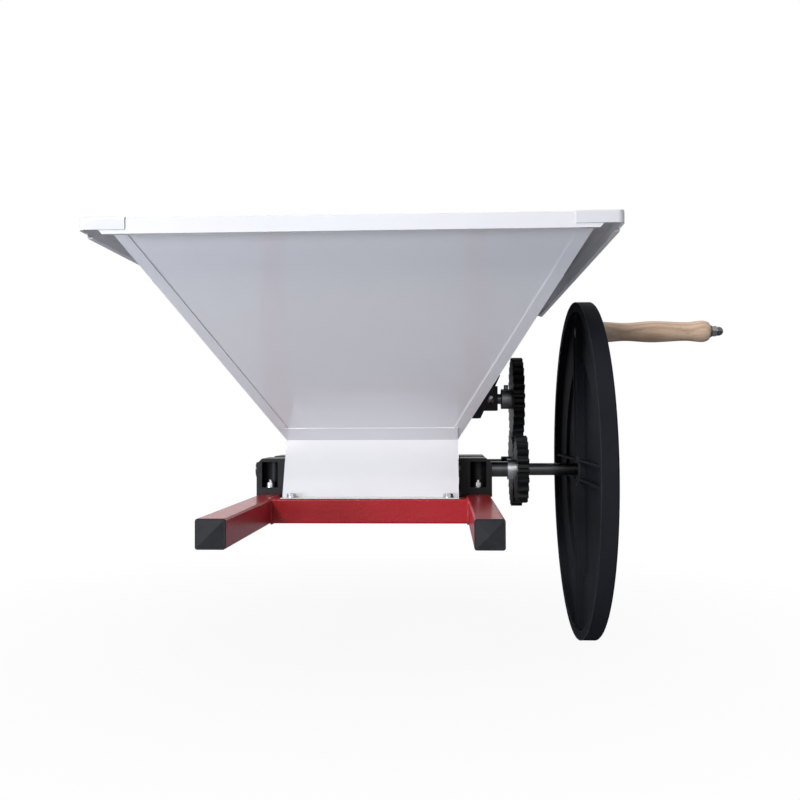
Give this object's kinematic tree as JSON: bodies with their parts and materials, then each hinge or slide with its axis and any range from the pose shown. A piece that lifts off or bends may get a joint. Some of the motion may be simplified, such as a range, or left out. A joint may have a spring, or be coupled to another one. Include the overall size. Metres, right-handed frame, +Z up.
{
  "type": "hand-cranked grape crusher",
  "caption": "Hand-cranked grape crusher: flared sheet hopper over geared fluted rollers and an agitator on a square tube frame, turned by a flywheel with a wooden handle.",
  "frame": {"origin": "centre of the outlet, on the underside of the frame rails", "axes": "+X along the roller axes towards the flywheel, -Y to the front, +Y along the rails, +Z up out of the hopper mouth"},
  "size_m": [0.7198, 0.772, 0.4802],
  "materials": {
    "red_paint": "gloss",
    "white_paint": "gloss",
    "cap_plastic": "satin",
    "bearing_plastic": "satin",
    "gear_plastic": "satin",
    "wheel_plastic": "satin",
    "corner_plastic": "gloss",
    "roller_metal": "satin",
    "beech": "satin",
    "bright_steel": "bright",
    "zinc_steel": "bright"
  },
  "bodies": {
    "frame": {"left_rail": "red_paint", "right_rail": "red_paint", "front_cross_tube": "red_paint", "back_cross_tube": "red_paint", "front_left_end_cap": "cap_plastic", "front_right_end_cap": "cap_plastic", "back_left_end_cap": "cap_plastic", "back_right_end_cap": "cap_plastic", "front_hopper_panel": "white_paint", "back_hopper_panel": "white_paint", "left_hopper_panel": "white_paint", "right_hopper_panel": "white_paint", "front_left_corner": "corner_plastic", "front_right_corner": "corner_plastic", "back_left_corner": "corner_plastic", "back_right_corner": "corner_plastic", "front_apron": "white_paint", "back_apron": "white_paint", "left_side_plate": "white_paint", "right_side_plate": "white_paint", "front_left_bearing": "bearing_plastic", "front_right_bearing": "bearing_plastic", "back_left_bearing": "bearing_plastic", "back_right_bearing": "bearing_plastic", "bearing_studs": "zinc_steel", "bearing_washers": "zinc_steel", "bearing_nuts": "zinc_steel", "apron_bolts": "zinc_steel", "left_agitator_bracket": "bearing_plastic", "right_agitator_bracket": "bearing_plastic", "bracket_bolts": "zinc_steel", "bracket_nuts": "zinc_steel"},
    "crank": {"front_roller_shaft": "bright_steel", "front_roller": "roller_metal", "front_roller_pin": "zinc_steel", "pinion": "gear_plastic", "pinion_hub": "bright_steel", "pinion_set_screw": "zinc_steel", "flywheel": "wheel_plastic", "flywheel_key": "zinc_steel", "flywheel_washer": "zinc_steel", "flywheel_nut": "zinc_steel", "handle_bolt": "zinc_steel", "handle_washer": "zinc_steel", "handle_dome_nut": "zinc_steel"},
    "back_roller": {"back_roller_shaft": "bright_steel", "back_roller": "roller_metal", "back_roller_pin": "zinc_steel", "back_roller_gear": "gear_plastic", "back_gear_set_screw": "zinc_steel"},
    "agitator": {"agitator_shaft": "bright_steel", "agitator_pins": "bright_steel", "agitator_gear": "gear_plastic", "agitator_set_screw": "zinc_steel", "agitator_collar": "bright_steel"},
    "grip": {"handle_grip": "beech"}
  },
  "joints": [
    {"name": "crank_turn", "type": "hinge", "parent": "frame", "child": "crank", "pos_m": [0, -0.046, 0.061], "axis": [1, 0, 0], "continuous": true},
    {"name": "back_roller_turn", "type": "hinge", "parent": "frame", "child": "back_roller", "pos_m": [0, 0.046, 0.061], "axis": [1, 0, 0], "continuous": true},
    {"name": "agitator_turn", "type": "hinge", "parent": "frame", "child": "agitator", "pos_m": [0, 0, 0.15427], "axis": [1, 0, 0], "continuous": true},
    {"name": "grip_turn", "type": "hinge", "parent": "crank", "child": "grip", "pos_m": [0.36, -0.046, 0.24], "axis": [1, 0, 0], "continuous": true}
  ],
  "couplings": [
    {"joint": "back_roller_turn", "follows": "crank_turn", "ratio": -0.76923},
    {"joint": "agitator_turn", "follows": "crank_turn", "ratio": 0.76923}
  ]
}
